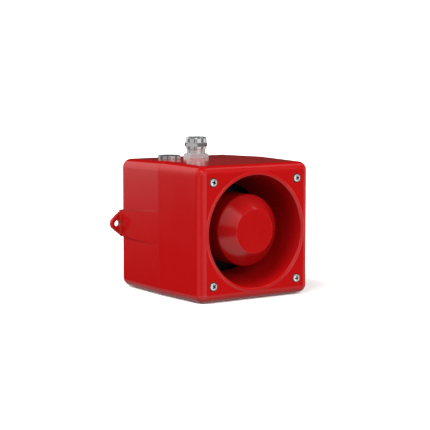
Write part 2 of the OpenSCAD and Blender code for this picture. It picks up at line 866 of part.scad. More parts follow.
rear_housing();
front_housing();
housing_gasket();
front_screws();
screw_seals();
horn_bullet();
horn_core();
bullet_screws();
core_screws();
driver_gasket();
diaphragm_ring();
surround();
diaphragm();
voice_coil();
top_plate();
magnet();
back_plate();
driver_screws();
driver_lead();
driver_plug();
circuit_board();
board_screws();
terminal_block();
terminal_screws();
board_header();
tone_switch();
tone_slider(1);  // tone_slider_1
tone_slider(2);  // tone_slider_2
tone_slider(3);  // tone_slider_3
tone_slider(4);  // tone_slider_4
tone_slider(5);  // tone_slider_5
volume_trimmer();
volume_rotor();
capacitors();
transformer_core();
transformer_coil();
circuit_chips();
output_transistors();
earth_screw();
gland_body();
gland_oring();
gland_seal();
gland_washer();
gland_nut();
blanking_plug();
plug_oring();
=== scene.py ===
"""Looks of the alarm siren: painted castings, horn, gland and plug in smooth meshes, and the studio.

Lengths below are millimetres unless a name says otherwise; MM turns them into the frame's metres.
A station is a distance forward of the wall, so it runs along -Y.
"""

import json
import math

import bpy
import bmesh
from mathutils import Matrix, Vector


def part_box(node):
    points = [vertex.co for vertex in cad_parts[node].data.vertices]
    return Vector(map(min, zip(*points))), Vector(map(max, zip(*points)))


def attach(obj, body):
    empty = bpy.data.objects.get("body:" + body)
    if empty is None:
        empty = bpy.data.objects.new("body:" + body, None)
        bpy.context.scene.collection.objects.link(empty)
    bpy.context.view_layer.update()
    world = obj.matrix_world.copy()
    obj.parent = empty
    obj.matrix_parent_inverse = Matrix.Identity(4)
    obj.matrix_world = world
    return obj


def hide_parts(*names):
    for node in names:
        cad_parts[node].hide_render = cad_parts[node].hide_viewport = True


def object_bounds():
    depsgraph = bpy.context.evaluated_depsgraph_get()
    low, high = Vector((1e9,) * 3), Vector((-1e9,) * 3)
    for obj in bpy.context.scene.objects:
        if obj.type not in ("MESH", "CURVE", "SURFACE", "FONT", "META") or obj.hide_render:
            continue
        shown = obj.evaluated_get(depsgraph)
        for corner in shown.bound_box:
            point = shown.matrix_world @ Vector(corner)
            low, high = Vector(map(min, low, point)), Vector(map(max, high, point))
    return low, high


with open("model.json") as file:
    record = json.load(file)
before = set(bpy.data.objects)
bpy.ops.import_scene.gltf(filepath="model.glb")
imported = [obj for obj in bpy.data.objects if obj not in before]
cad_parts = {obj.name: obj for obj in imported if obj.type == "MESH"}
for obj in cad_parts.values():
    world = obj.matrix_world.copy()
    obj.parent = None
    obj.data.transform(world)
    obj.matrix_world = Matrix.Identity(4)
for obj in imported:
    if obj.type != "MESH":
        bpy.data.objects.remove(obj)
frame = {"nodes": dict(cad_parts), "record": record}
cad_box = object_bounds()

MM = 0.001
# Local X runs across, local Y up and local Z forward of the wall
FORWARD = Matrix(((MM, 0, 0, 0), (0, 0, -MM, 0), (0, MM, 0, 0), (0, 0, 0, 1)))
MERGE = 2e-6                 # metres within which two vertices are one
TURN_STEPS = 144             # sides of a turned piece


def box_mm(node):
    low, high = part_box(node)
    return low / MM, high / MM


# Sizes read from the frame
front_low, front_high = box_mm("front_housing")
rear_high = box_mm("rear_housing")[1]
nut_low, nut_high = box_mm("gland_nut")
plug_low, plug_high = box_mm("blanking_plug")
disc_low, disc_high = box_mm("horn_bullet")
joint_s = -front_high.y
half_joint = front_high.x
bead_top_s = -front_low.y
bead_rise = 0.6              # top of the bead above the front face
front_s = bead_top_s - bead_rise
tip_s = -disc_low.y
bullet_r = disc_high.x
gland_x = (nut_low.x + nut_high.x) / 2
entry_y = (nut_low.y + nut_high.y) / 2
plug_x = (plug_low.x + plug_high.x) / 2
plug_r = (plug_high.x - plug_low.x) / 2
plug_h = 4.5
seat_z = plug_high.z - plug_h
lug_reach = rear_high.x

# Castings
wall = 4
edge = 0.45                  # easing of the outer edges at the joint
corner_r = 9.8
front_r = 8.3
back_r = 8.8
half_front = half_joint - 1.3
half_back = half_joint - 1.5
side_steps = 32
corner_steps = 12
bead_r = 2.1
bead_at = 56.5
bead_s = bead_top_s - bead_r
bead_foot = 0.6              # fillet where the bead leaves the front face
horn_end_s = 94
horn_end_r = 43.7
horn_wall = 3
ring_r = 57.5
ring_s = 98
lip_t = 4
lip_in = 8.1

# Screws, their posts and bosses
post_at = 49.5
post_r = 6
screw_r = 2
screw_head_r = 3.65
screw_head_h = 2.7
recess_r = 4.65
recess_s = front_s - 1.8
screw_seat_s = front_s - 1.3
screw_end_s = 60
clearance_r = 2.25           # hole for a front screw
m4_thread_r = 2.05
m3_thread_r = 1.55
core_boss_at = 54
core_boss_r = 3.6
core_boss_end_s = 104
bullet_boss_at = 27
bullet_boss_r = 4
standoff_at = (36, 47)
standoff_r = 3.6
standoff_end_s = 14
standoff_thread_s = 6
earth_boss_x = 50
earth_boss_end_s = 9

# Side pads and lugs
pad_x = half_joint - 0.05
pad_back = (-13.9, 12.9)
pad_joint = (-16.8, 17.6)
pad_fade = 0.15              # half the width of the step at a pad's edge
lug_t = 4.6
lug_tip_r = 6.9
lug_hole_r = 3.2
lug_z = -0.8
lug_at = lug_reach - lug_tip_r
lug_root_half = 11.6
lug_shoulder_x = half_joint + 0.8
lug_edge = 0.7
lug_fillet = 2

# Gland and plug, heights above their seat
entry_r = 10
entry_boss_r = 14
shank_r = entry_r - 0.05     # thread of the gland and the plug
shank_low = -8
gland_bore_r = 6.5
gland_turn = -31
nut_turn = 3
base_af = 22
base_h = 4.8
neck_r = 9.2
neck_h = 14.5
nut_af = 21.8
nut_from = 9.6
nut_h = 12.3
crown_r = 10.7
foot_r = 10.6


def rad(degrees):
    return math.radians(degrees)


# ---------------------------------------------------------------- mesh tools

def build(name, points, faces):
    """Object from points in metres, with doubles merged and all faces turned outwards."""
    mesh = bpy.data.meshes.new(name)
    mesh.from_pydata([tuple(p) for p in points], [], faces)
    work = bmesh.new()
    work.from_mesh(mesh)
    bmesh.ops.remove_doubles(work, verts=work.verts, dist=MERGE)
    bmesh.ops.dissolve_degenerate(work, edges=work.edges, dist=MERGE / 4)
    bmesh.ops.recalc_face_normals(work, faces=work.faces)
    work.to_mesh(mesh)
    work.free()
    item = bpy.data.objects.new(name, mesh)
    bpy.context.scene.collection.objects.link(item)
    return item


def loft(name, rings, closed=False):
    """Solid skinned over rings of equal length: a closed tube of rings, or one with both ends capped."""
    count = len(rings[0])
    points = [p for ring in rings for p in ring]
    faces = []
    for i in range(len(rings) if closed else len(rings) - 1):
        here, there = i * count, (i + 1) % len(rings) * count
        for j in range(count):
            k = (j + 1) % count
            faces.append((here + j, here + k, there + k, there + j))
    if not closed:
        faces.append(tuple(range(count)))
        faces.append(tuple(range(len(points) - count, len(points))))
    return build(name, points, faces)


def arc(cx, cy, r, start, end, steps):
    """Points on an arc, both ends included; angles in degrees."""
    angles = [rad(start + (end - start) * i / steps) for i in range(steps + 1)]
    return [(cx + r * math.cos(a), cy + r * math.sin(a)) for a in angles]


def eased(corners, steps=5):
    """Outline of (x, y, radius) corners, each turned by an arc of its radius.

    The ends of an open outline have radius 0.
    """
    out = []
    count = len(corners)
    for i, (x, y, r) in enumerate(corners):
        if r == 0:
            out.append((x, y))
            continue
        here = Vector((x, y))
        back = (Vector(corners[i - 1][:2]) - here).normalized()
        ahead = (Vector(corners[(i + 1) % count][:2]) - here).normalized()
        half = back.angle(ahead) / 2
        centre = here + (back + ahead).normalized() * (r / math.sin(half))
        first = here + back * (r / math.tan(half)) - centre
        turn = math.pi - 2 * half
        sign = 1 if back.x * ahead.y - back.y * ahead.x < 0 else -1
        for k in range(steps + 1):
            a = sign * turn * k / steps
            out.append((centre.x + first.x * math.cos(a) - first.y * math.sin(a),
                        centre.y + first.x * math.sin(a) + first.y * math.cos(a)))
    return out


def turned(name, profile, place=FORWARD, steps=TURN_STEPS, closed=False):
    """Solid turned about local Z from (radius, height) points.

    An open profile starts and ends on the axis.
    """
    angles = [2 * math.pi * j / steps for j in range(steps)]
    rings = [[place @ Vector((r * math.cos(a), r * math.sin(a), h)) for a in angles] for r, h in profile]
    return loft(name, rings, closed)


def rod(name, r, low, high, place, steps):
    """Plain cylinder on local Z between two heights."""
    return turned(name, [(0, low), (r, low), (r, high), (0, high)], place, steps)


def prism(name, shape, low, high, place=FORWARD, ease=0.0, inset=None):
    """Solid of a flat shape between two heights; inset(d) gives the shape for eased ends."""
    if not ease:
        rings = [[place @ Vector((x, y, h)) for x, y in shape] for h in (low, high)]
        return loft(name, rings)
    levels = [(ease - ease * math.sin(rad(a)), low + ease - ease * math.cos(rad(a))) for a in (0, 30, 60, 90)]
    levels += [(d, high - (h - low)) for d, h in reversed(levels)]
    return loft(name, [[place @ Vector((x, y, h)) for x, y in inset(d)] for d, h in levels])


def rectangle(x, y, width, height):
    return [(x - width / 2, y - height / 2), (x + width / 2, y - height / 2),
            (x + width / 2, y + height / 2), (x - width / 2, y + height / 2)]


def carve(target, tools, operation="DIFFERENCE"):
    """Cuts the tools from the target, or joins them to it, and removes them."""
    for tool in tools:
        step = target.modifiers.new("shape", "BOOLEAN")
        step.operation = operation
        step.solver = "MANIFOLD"
        step.object = tool
    bpy.context.view_layer.update()
    graph = bpy.context.evaluated_depsgraph_get()
    shaped = bpy.data.meshes.new_from_object(target.evaluated_get(graph))
    if not len(shaped.polygons):
        raise RuntimeError("boolean left nothing of " + target.name)
    target.modifiers.clear()
    target.data = shaped
    for tool in tools:
        bpy.data.objects.remove(tool)
    return target


def moved(x, y, h=0, turn=0):
    """Local place for a feature on the forward frame."""
    return FORWARD @ Matrix.Translation((x, y, h)) @ Matrix.Rotation(rad(turn), 4, "Z")


def corner_places(at):
    return [(x * at, y * at) for x in (-1, 1) for y in (-1, 1)]


def ring_places(count, at, first=45):
    return [(at * math.cos(rad(first + i * 360 / count)), at * math.sin(rad(first + i * 360 / count)))
            for i in range(count)]


def merged(name, parts):
    """One object of several separate shells."""
    work = bmesh.new()
    for part in parts:
        work.from_mesh(part.data)
        bpy.data.objects.remove(part)
    mesh = bpy.data.meshes.new(name)
    work.to_mesh(mesh)
    work.free()
    item = bpy.data.objects.new(name, mesh)
    bpy.context.scene.collection.objects.link(item)
    return item


def finished(item, body, slot, *nodes, sharp=32, look=None):
    """Shades a piece, rides it on a body and has it stand in for nodes.

    It gets its slot's material, or another look.
    """
    for face in item.data.polygons:
        face.use_smooth = True
    item.data.set_sharp_from_angle(angle=rad(sharp))
    normals = item.modifiers.new("normals", "WEIGHTED_NORMAL")
    normals.keep_sharp = True
    item.data.materials.clear()
    item.data.materials.append(MATERIALS[look or slot])
    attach(item, body)
    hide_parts(*nodes)


# ---------------------------------------------------------------- castings

def side_positions(span, pad=None):
    """Positions along a straight side, gathered round the pad's edges where there is a pad."""
    if pad is None:
        return [span * (2 * i / side_steps - 1) for i in range(side_steps + 1)]
    low, high = pad
    fade_steps, outer_steps = 6, 4
    inner_steps = side_steps - 2 * fade_steps - 2 * outer_steps
    stops = [(-span, low - pad_fade, outer_steps), (low - pad_fade, low + pad_fade, fade_steps),
             (low + pad_fade, high - pad_fade, inner_steps),
             (high - pad_fade, high + pad_fade, fade_steps), (high + pad_fade, span, outer_steps)]
    out = [-span]
    for start, end, steps in stops:
        out += [start + (end - start) * (i + 1) / steps for i in range(steps)]
    return out


def outline(half, radius, pad=None, pad_out=0):
    """Points round a rounded square, from the lower end of the right side.

    A pad between two heights may stand out to the left and right.
    """
    span = half - radius
    out = []
    for quarter in range(4):
        c, s = round(math.cos(rad(90 * quarter))), round(math.sin(rad(90 * quarter)))
        ends = None
        if pad is not None and quarter % 2 == 0:
            ends = pad if quarter == 0 else (-pad[1], -pad[0])
        for t in side_positions(span, ends)[:-1]:
            x = half
            if ends:
                inside = min(t - ends[0], ends[1] - t)
                rise = min(max((inside + pad_fade) / (2 * pad_fade), 0), 1)
                x = half + max(pad_out - half, 0) * rise * rise * (3 - 2 * rise)
            out.append((x * c - t * s, x * s + t * c))
        for a in range(corner_steps):
            turn = rad(90 * a / corner_steps)
            x, y = span + radius * math.cos(turn), span + radius * math.sin(turn)
            out.append((x * c - y * s, x * s + y * c))
    return out


def level(points, station):
    return [(x, y, station) for x, y in points]


def side_rings(from_s, to_s, from_shape, to_shape, steps):
    """Straight drafted side between two rounded squares, each given as (half, radius), without the first."""
    rings = []
    for i in range(1, steps + 1):
        t = i / steps
        half = from_shape[0] + (to_shape[0] - from_shape[0]) * t
        radius = from_shape[1] + (to_shape[1] - from_shape[1]) * t
        rings.append((half, radius, from_s + (to_s - from_s) * t))
    return rings


def front_height(x, y, centre_s, radius, inner):
    """Height of a block's rounded front over a point of its face."""
    off = math.hypot(max(abs(x) - inner, 0), max(abs(y) - inner, 0))
    return centre_s + math.sqrt(max(radius * radius - off * off, 0))


def smooth_max(a, b, width):
    overlap = max(width - abs(a - b), 0) / width
    return max(a, b) + overlap * overlap * width / 4


def mouth_height(x, y):
    """Front face of the casting with the horn's bead on it."""
    face = front_height(x, y, front_s - front_r, front_r, half_front - front_r)
    off = math.hypot(x, y) - bead_at
    if abs(off) >= bead_r:
        return face
    return smooth_max(face, bead_s + math.sqrt(bead_r * bead_r - off * off), bead_foot)


def flare(station):
    """Radius of the horn wall's inside at a station."""
    bend = 1.15
    share = (station - horn_end_s) / (bead_s - horn_end_s)
    mouth = bead_at - bead_r
    return horn_end_r + (mouth - horn_end_r) * max(share, 0) ** bend


def circle(radius, directions):
    return [(radius * math.cos(a), radius * math.sin(a)) for a in directions]


def mixed(a, b, t):
    return [(p[0] + (q[0] - p[0]) * t, p[1] + (q[1] - p[1]) * t) for p, q in zip(a, b)]


def draft_angle(half_end, end_r, length):
    """Angle of the drafted side, where it meets the rounded end."""
    return math.degrees(math.atan((half_joint - half_end) / (length - end_r)))


def front_outer_rings():
    """From the joint's eased edge up the drafted sides and on to the rounded front."""
    centre_s = front_s - front_r
    inner = half_front - front_r
    rings = [level(outline(half_joint - edge + dx, corner_r - edge + dx), joint_s + ds)
             for dx, ds in arc(0, edge, edge, -90, 0, 4)]
    draft = draft_angle(half_front, front_r, front_s - joint_s)
    first = (inner + front_r * math.cos(rad(draft)), front_r * math.cos(rad(draft)))
    first_s = centre_s + front_r * math.sin(rad(draft))
    rings += [level(outline(half, r), s) for half, r, s in
              side_rings(joint_s + edge, first_s, (half_joint, corner_r), first, 6)]
    turn_steps, last_turn = 6, 32
    for i in range(1, turn_steps + 1):
        turn = rad(draft + (last_turn - draft) * i / turn_steps)
        r = front_r * math.cos(turn)
        rings.append(level(outline(inner + r, r), centre_s + front_r * math.sin(turn)))
    return rings


def over_mouth(points):
    return [(x, y, mouth_height(x, y)) for x, y in points]


def horn_rings(directions):
    """From the edge of the front face over the bead and down the inside of the horn wall."""
    edge_ring = [(x, y) for x, y, _ in front_outer_rings()[-1]]
    outside = bead_at + bead_r + bead_foot
    face_steps = 22
    gather = 1.6             # draws the rings towards the face's edge
    rings = [over_mouth(mixed(edge_ring, circle(outside, directions), (i / face_steps) ** gather))
             for i in range(1, face_steps + 1)]
    for a in range(0, 91, 9):
        r = bead_at + bead_r * math.cos(rad(a))
        rings.append(over_mouth(circle(r, directions)))
    for a in range(100, 181, 10):
        ring = circle(bead_at + bead_r * math.cos(rad(a)), directions)
        rings.append(level(ring, bead_s + bead_r * math.sin(rad(a))))
    wall_steps = 22
    for i in range(1, wall_steps + 1):
        s = bead_s + (horn_end_s + edge - bead_s) * i / wall_steps
        rings.append(level(circle(flare(s), directions), s))
    rings += [level(circle(r, directions), s)
              for r, s in arc(horn_end_r + edge, horn_end_s + edge, edge, 180, 270, 3)]
    return rings


def front_inner_rings(directions):
    """Ring for the horn core, the outside of the horn wall and the cavity, back to the joint."""
    rings = [level(circle(r, directions), s) for r, s in ((ring_r, horn_end_s), (ring_r, ring_s))]
    outer_steps = 12
    face_steps = 8
    last_turn = 8
    centre_s, inner, r_in = front_s - front_r, half_front - front_r, front_r - wall
    top_r = flare(front_s - wall) + horn_wall
    for i in range(outer_steps):
        s = ring_s + (front_s - wall - 1 - ring_s) * i / (outer_steps - 1)
        rings.append(level(circle(flare(s) + horn_wall, directions), s))
    last = outline(inner + r_in * math.cos(rad(last_turn)), r_in * math.cos(rad(last_turn)))
    for i in range(face_steps + 1):
        ring = mixed(circle(top_r + 1, directions), last, i / face_steps)
        rings.append([(x, y, front_height(x, y, centre_s, r_in, inner)) for x, y in ring])
    rings.append(level(outline(inner + r_in, r_in), centre_s))
    rings.append(level(outline(half_joint - wall, corner_r - wall), joint_s + lip_t))
    rings.append(level(outline(half_joint - lip_in, corner_r - wall), joint_s + lip_t))
    rings.append(level(outline(half_joint - lip_in, corner_r - wall), joint_s))
    return rings


def in_frame(rings):
    return [[FORWARD @ Vector(p) for p in ring] for ring in rings]


def screw_posts(low, high):
    """Posts for the front screws, each with a web to its corner."""
    web_t = 4
    reach = math.sqrt(2) * (half_joint - corner_r / 2 - wall / 2 - post_at)
    tools = []
    for x, y in corner_places(post_at):
        tools.append(rod("post", post_r, low, high, moved(x, y), 48))
        turn = math.degrees(math.atan2(y, x))
        tools.append(prism("web", rectangle(reach / 2, 0, reach, web_t), low, high, moved(x, y, 0, turn)))
    return tools


def front_casting():
    directions = [math.atan2(y, x) for x, y in outline(half_joint, corner_r)]
    rings = front_outer_rings() + horn_rings(directions) + front_inner_rings(directions)
    item = loft("front_casting", in_frame(rings), closed=True)
    bosses = [rod("boss", core_boss_r, horn_end_s, core_boss_end_s, moved(x, y), 36)
              for x, y in ring_places(4, core_boss_at)]
    carve(item, screw_posts(joint_s, front_s - wall + 0.5) + bosses, "UNION")
    rim_r = recess_r + 0.4
    hole = [(0, joint_s - 1), (clearance_r, joint_s - 1), (clearance_r, recess_s), (recess_r, recess_s),
            (recess_r, front_s - 0.25), (rim_r, front_s + 0.1), (rim_r, front_s + 2), (0, front_s + 2)]
    holes = [turned("hole", hole, moved(x, y), 48) for x, y in corner_places(post_at)]
    holes += [rod("thread", m4_thread_r, horn_end_s - 1, core_boss_end_s - 1, moved(x, y), 24)
              for x, y in ring_places(4, core_boss_at)]
    carve(item, holes)
    finished(item, "front", "red_casting", "front_housing")


def rear_outer_rings():
    """From the edge of the back face over the drafted sides, with their pads, to the joint."""
    inner = half_back - back_r
    draft = draft_angle(half_back, back_r, joint_s)
    rings = []
    turn_steps = 12
    for i in range(turn_steps + 1):
        turn = rad(90 - (90 - draft) * i / turn_steps)
        r = back_r * math.cos(turn)
        s = back_r - back_r * math.sin(turn)
        rings.append((inner + r, r, s))
    last = rings[-1]
    rings += side_rings(last[2], joint_s - edge, last[:2], (half_joint, corner_r), 8)
    out = []
    for half, r, s in rings:
        pad = tuple(back + (joint - back) * s / joint_s for back, joint in zip(pad_back, pad_joint))
        back_ease = 1 - math.sqrt(max(1 - (1 - min(s, 1)) ** 2, 0))
        out.append(level(outline(half, r, pad, min(pad_x - back_ease, half_joint)), s))
    for dx, ds in arc(0, -edge, edge, 0, 90, 4)[1:]:
        out.append(level(outline(half_joint - edge + dx, corner_r - edge + dx, pad_joint), joint_s + ds))
    return out


def rear_inner_rings():
    """From the joint, with the gasket's groove, back down the cavity."""
    groove = ((2.6, 0), (2.6, 2), (5.6, 2), (5.6, 0))
    rings = []
    for inset, depth in groove:
        rings.append(level(outline(half_joint - inset, corner_r - inset, pad_joint), joint_s - depth))
    rings.append(level(outline(half_joint - lip_in, corner_r - wall, pad_joint), joint_s))
    rings.append(level(outline(half_joint - lip_in, corner_r - wall, pad_joint), joint_s - lip_t))
    rings.append(level(outline(half_joint - wall, corner_r - wall, pad_joint), joint_s - lip_t))
    inner, r_in = half_back - back_r, back_r - wall
    for turn in range(0, 91, 15):
        r = r_in * math.cos(rad(turn))
        rings.append(level(outline(inner + r, r, pad_back), back_r - r_in * math.sin(rad(turn))))
    return rings


def lug_outline(side, inset):
    """Wall lug seen from the front, drawn in by an inset."""
    half, tip = lug_root_half - inset, lug_tip_r - inset
    dx, dy = lug_shoulder_x - lug_at, half
    touch = math.degrees(math.atan2(dy, dx) - math.acos(tip / math.hypot(dx, dy)))
    root = half_back - back_r
    right = [(root, -half), (lug_shoulder_x, -half)] + arc(lug_at, 0, tip, -touch, touch, 28)
    right += [(lug_shoulder_x, half), (root, half)]
    return right if side > 0 else [(-x, y) for x, y in reversed(right)]


def wall_lug(side):
    """Lug on the left or right, and the fillet between its plate and the housing."""
    plate = prism("lug", None, 0, lug_t, moved(0, lug_z), lug_edge, lambda d: lug_outline(side, d))
    reach = pad_x + lug_fillet
    section = [(pad_x - 1, lug_t - 1), (reach, lug_t - 1), (reach, lug_t)]
    section += arc(reach, lug_t + lug_fillet, lug_fillet, 270, 180, 7)[1:] + [(pad_x - 1, lug_t + lug_fillet)]
    ends = (lug_z - lug_root_half + lug_edge, lug_z + lug_root_half - lug_edge)
    gusset = loft("gusset", in_frame([[(side * x, z, s) for x, s in section] for z in ends]))
    return [plate, gusset]


def entry_place(x, height=0):
    return Matrix.Translation(Vector((x, entry_y, seat_z + height)) * MM) @ Matrix.Scale(MM, 4)


def rear_casting():
    item = loft("rear_casting", in_frame(rear_outer_rings() + rear_inner_rings()))
    inside = wall - 1
    tools = screw_posts(inside, joint_s)
    tools += [rod("boss", entry_boss_r, shank_low, -0.01, entry_place(x), 72) for x in (gland_x, plug_x)]
    standoffs = [(x * standoff_at[0], y * standoff_at[1]) for x in (-1, 1) for y in (-1, 1)]
    tools += [rod("standoff", standoff_r, inside, standoff_end_s, moved(x, y), 36) for x, y in standoffs]
    tools.append(rod("earth", post_r, inside, earth_boss_end_s, moved(earth_boss_x, 0), 36))
    carve(item, tools, "UNION")
    carve(item, wall_lug(1) + wall_lug(-1), "UNION")
    cuts = [rod("hole", m4_thread_r, screw_end_s - wall, joint_s + 1, moved(x, y), 36)
            for x, y in corner_places(post_at)]
    ring_out, ring_deep = entry_r + 0.9, -1.4
    seat = [(0, -9), (entry_r, -9), (entry_r, ring_deep), (ring_out, ring_deep), (ring_out, 0),
            (entry_boss_r, 0), (entry_boss_r, 3), (0, 3)]
    cuts += [turned("seat", seat, entry_place(x), 96) for x in (gland_x, plug_x)]
    chamfer = 0.2
    wide = lug_hole_r + chamfer
    lug_hole = [(0, -1), (wide, -1), (wide, 0), (lug_hole_r, chamfer), (lug_hole_r, lug_t - chamfer),
                (wide, lug_t), (wide, lug_t + 1), (0, lug_t + 1)]
    cuts += [turned("lug_hole", lug_hole, moved(x * lug_at, lug_z), 48) for x in (-1, 1)]
    cuts += [rod("thread", m3_thread_r, standoff_thread_s, standoff_end_s + 1, moved(x, y), 24)
             for x, y in standoffs]
    cuts.append(rod("thread", m4_thread_r, wall, earth_boss_end_s + 1, moved(earth_boss_x, 0), 24))
    carve(item, cuts)
    finished(item, "rear", "red_casting", "rear_housing")


# ---------------------------------------------------------------- horn and screws

def bullet():
    cone = 13
    blend = 3.2
    thick = 2.5
    end_s = 80
    tip_r = 21.4
    profile = eased([(0, tip_s, 0), (tip_r, tip_s, 0.7), (bullet_r, tip_s - cone, blend),
                     (bullet_r, end_s, 0.6), (bullet_r - thick, end_s, 0.6),
                     (bullet_r - thick, tip_s - cone - 0.6, 2), (tip_r - 1, tip_s - thick, 1),
                     (0, tip_s - thick, 0)], 7)
    item = turned("horn_bullet_shell", profile, steps=192)
    boss_low, boss_high, thread_end = 70, 134, 82
    places = [moved(x, y) for x, y in ring_places(3, bullet_boss_at, 90)]
    carve(item, [rod("boss", bullet_boss_r, boss_low, boss_high, place, 36) for place in places], "UNION")
    carve(item, [rod("thread", m3_thread_r, boss_low - 1, thread_end, place, 24) for place in places])
    finished(item, "front", "red_bullet", "horn_bullet", sharp=40)


def cross_cutter(r, depth, top, place):
    """Tapered cross that cuts a screw head's recess."""
    tools = []
    arm, half = r * 0.7, r * 0.21
    for turn in (0, 90):
        spun = place @ Matrix.Rotation(rad(turn), 4, "Z")
        rings = []
        for share, h in ((0.45, top - depth), (1.0, top), (1.1, top + 0.6)):
            width = half * (0.7 + 0.3 * share)
            rings.append([spun @ Vector((x * arm * share, y * width, h)) for x, y in rectangle(0, 0, 2, 2)])
        tools.append(loft("cross", rings))
    return tools


def pan_screw(name, r, head_r, head, length, place):
    """Pan-head screw on height 0, with a threaded shank below."""
    pitch = 0.7
    lead_in = 0.4
    root_r, crest_r, plain_r = r * 0.8, r * 0.99, r * 0.95
    turns = int((length - 1.5) / pitch)
    thread = [(0, -length), (r * 0.7, -length)]
    for i in range(turns):
        low = -length + lead_in + i * pitch
        thread += [(root_r, low), (crest_r, low + pitch * 0.45), (crest_r, low + pitch * 0.55)]
    thread += [(root_r, -length + lead_in + turns * pitch), (plain_r, -lead_in), (plain_r, 0)]
    crown = head_r * 1.9
    dome_r = head_r * 0.72
    dome_steps = 6
    rise = crown - math.sqrt(crown * crown - dome_r ** 2)
    dome = [(dome_r * t / dome_steps, head - rise * (t / dome_steps) ** 2) for t in range(dome_steps, -1, -1)]
    shoulder = eased([(plain_r, 0, 0), (head_r, 0, 0.25), (head_r, head - rise - 0.1, head_r * 0.2),
                      dome[0] + (0,)], 6)
    item = turned(name, thread + shoulder[1:] + dome[1:], place, 48)
    return carve(item, cross_cutter(head_r, head * 0.9, head, place))


def front_screws():
    length = screw_seat_s - screw_end_s
    screws = []
    for i, (x, y) in enumerate(corner_places(post_at)):
        place = moved(x, y, screw_seat_s, 45 + 25 * i)
        screws.append(pan_screw("screw", screw_r, screw_head_r, screw_head_h, length, place))
    finished(merged("front_screw_set", screws), "front", "stainless", "front_screws", sharp=35)


def screw_seal_rings():
    low, high = screw_seat_s - 0.5, screw_seat_s
    outer = recess_r - 0.15
    ring = eased([(clearance_r, low, 0.1), (outer, low, 0.15), (outer, high, 0.2),
                  (clearance_r, high, 0.1)], 3)
    rings = [turned("seal", ring, moved(x, y), 48, closed=True) for x, y in corner_places(post_at)]
    finished(merged("screw_seal_set", rings), "front", "seal_rubber", "screw_seals")


# ---------------------------------------------------------------- gland and plug

def hexagon(af, turn, ease):
    corner = af / math.sqrt(3)
    angles = [rad(turn + 60 * i) for i in range(6)]
    return eased([(corner * math.cos(a), corner * math.sin(a), ease) for a in angles], 4)


def hexed(name, profile, af, turn, place):
    """Turned profile cut to a hexagon across its flats."""
    item = turned(name, profile, place, 192)
    return carve(item, [prism("hexagon", hexagon(af, turn, 0.25), -30, 30, place)], "INTERSECT")


def gland_body():
    place = entry_place(gland_x)
    corner = base_af / math.sqrt(3)
    base = eased([(0, 0, 0), (corner + 0.3, 0, 0), (corner + 0.3, base_h - 0.5, 0),
                  (base_af / 2 + 0.6, base_h, 0.15), (0, base_h, 0)], 3)
    item = hexed("gland_body_shell", base, base_af, gland_turn, place)
    foot = neck_r - 0.3
    neck = [(0, base_h - 1), (foot, base_h - 1), (foot, base_h + 0.3), (neck_r, base_h + 0.7)]
    for groove in (2.6, 3.9):
        h = base_h + groove
        neck += [(neck_r, h), (neck_r - 0.15, h + 0.15), (neck_r - 0.15, h + 0.35), (neck_r, h + 0.5)]
    neck += [(neck_r, neck_h - 0.4), (neck_r - 0.4, neck_h), (0, neck_h)]
    shank = [(0, shank_low), (entry_r - 1, shank_low), (shank_r, shank_low + 1), (shank_r, 0.5), (0, 0.5)]
    carve(item, [turned("neck", neck, place, 96), turned("shank", shank, place, 96)], "UNION")
    seal_r, seal_low = 7.6, 5.9
    bore = [(0, -9), (gland_bore_r, -9), (gland_bore_r, seal_low), (seal_r, seal_low), (seal_r, neck_h + 1),
            (0, neck_h + 1)]
    carve(item, [turned("bore", bore, place, 96)])
    finished(item, "rear", "nickel", "gland_body", sharp=25, look="satin_nickel")


def gland_nut():
    place = entry_place(gland_x, nut_from)
    corner = nut_af / math.sqrt(3)
    outside = [(0, 0, 0), (foot_r, 0, 0.3), (foot_r, 2.6, 0.1), (corner, 2.9, 0.2), (corner, 5, 0.3),
               (crown_r, 6.4, 0.3), (crown_r, nut_h, 2.2), (0, nut_h, 0)]
    item = hexed("gland_nut_shell", eased(outside, 7), nut_af, nut_turn, place)
    thread, lip, mouth = neck_r + 0.06, nut_h - 1.5, 7.2
    bore = [(0, -1), (thread, -1), (thread, lip), (gland_bore_r, lip), (gland_bore_r, nut_h - 0.5),
            (mouth, nut_h + 0.2), (mouth, nut_h + 2), (0, nut_h + 2)]
    carve(item, [turned("bore", bore, place, 96)])
    finished(item, "gland_cap", "nickel", "gland_nut", sharp=25)


def blanking_plug():
    place = entry_place(plug_x)
    slot_length, slot_width, slot_depth = 16, 2.4, 1.8
    hollow_r = 7.5
    head = eased([(0, shank_low, 0), (entry_r - 1, shank_low, 0), (shank_r, shank_low + 1, 0),
                  (shank_r, 0, 0), (plug_r, 0, 0.2), (plug_r, plug_h, 0.6), (0, plug_h, 0)], 5)
    item = turned("blanking_plug_head", head, place, TURN_STEPS)
    slot = prism("slot", rectangle(0, 0, slot_length, slot_width), plug_h - slot_depth, plug_h + 1, place)
    carve(item, [slot, rod("hollow", hollow_r, shank_low - 1, 0, place, 72)])
    finished(item, "rear", "nickel", "blanking_plug", sharp=25, look="shaded_nickel")


# ---------------------------------------------------------------- materials

HOLLOW_REACH = 0.003         # metres
WEAR_RADIUS = 0.0004         # metres
RELIEF = 0.0002              # metres
STEP_SHADE = 0.28             # share of the colour that a pad's painted shade line takes
STEP_LINE = (0.35, 0.95)     # half width of a pad's painted shade line, full and faded out
